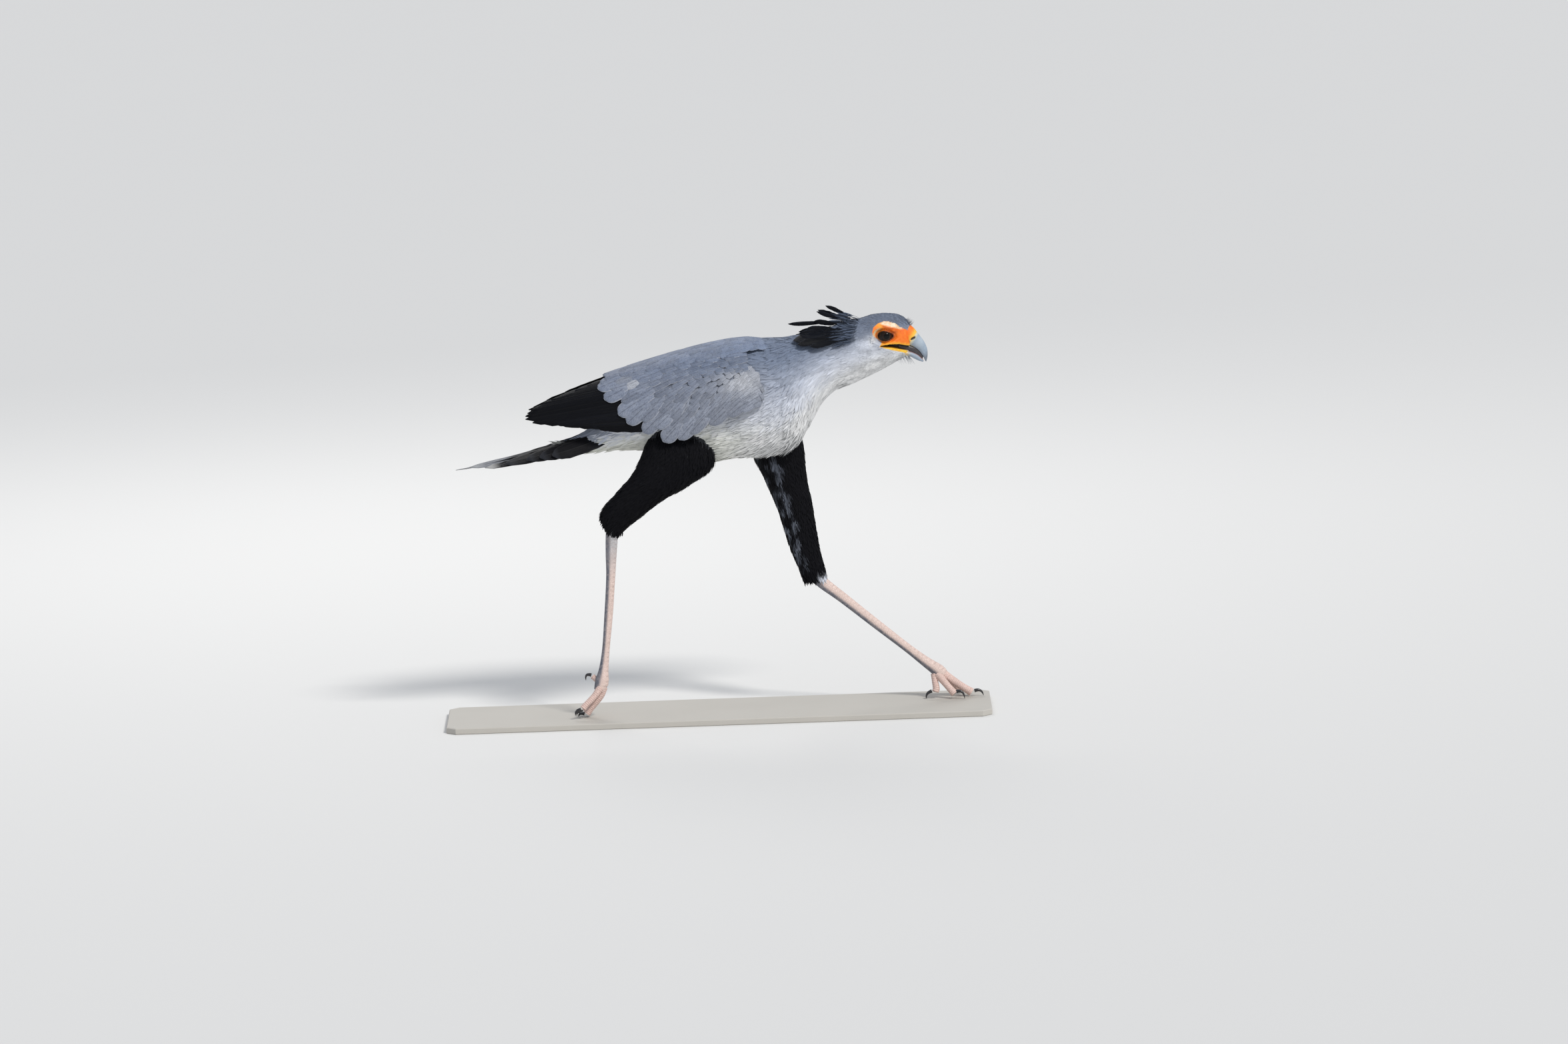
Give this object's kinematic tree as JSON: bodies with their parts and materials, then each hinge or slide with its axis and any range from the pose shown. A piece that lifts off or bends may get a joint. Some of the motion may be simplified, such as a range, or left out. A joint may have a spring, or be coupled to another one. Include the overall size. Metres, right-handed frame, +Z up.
{
  "type": "secretary bird display model",
  "caption": "Life-size still model of a secretary bird in a long stride, head level and crest trailing, on a low flat display base.",
  "frame": {"origin": "the middle of the display base's underside, on the floor", "axes": "+X towards the bill, +Y to the bird's left, +Z up"},
  "size_m": [1.08, 0.24, 0.8145],
  "materials": {
    "plumage": "matte blue-grey feathers",
    "throat": "matte pale grey feathers",
    "wing": "matte grey coverts and black flight feathers",
    "tail": "matte black, grey and white feathers",
    "thigh": "matte black feathers",
    "horn": "smooth pale blue-grey horn",
    "eye": "wet dark brown",
    "leg": "scaled pinkish skin",
    "claw": "smooth black horn",
    "base": "matte painted board"
  },
  "bodies": {
    "root": {"torso": "plumage", "neck": "throat", "head": "plumage", "bill_upper": "horn", "bill_lower": "horn", "tail": "tail", "stand_base": "base", "eye_right": "eye", "wing_right": "wing", "thigh_right": "thigh", "tarsus_right": "leg", "foot_right": "leg", "claw_right_digit1": "claw", "claw_right_digit2": "claw", "claw_right_digit3": "claw", "claw_right_digit4": "claw", "eye_left": "eye", "wing_left": "wing", "thigh_left": "thigh", "tarsus_left": "leg", "foot_left": "leg", "claw_left_digit1": "claw", "claw_left_digit2": "claw", "claw_left_digit3": "claw", "claw_left_digit4": "claw"}
  },
  "joints": []
}
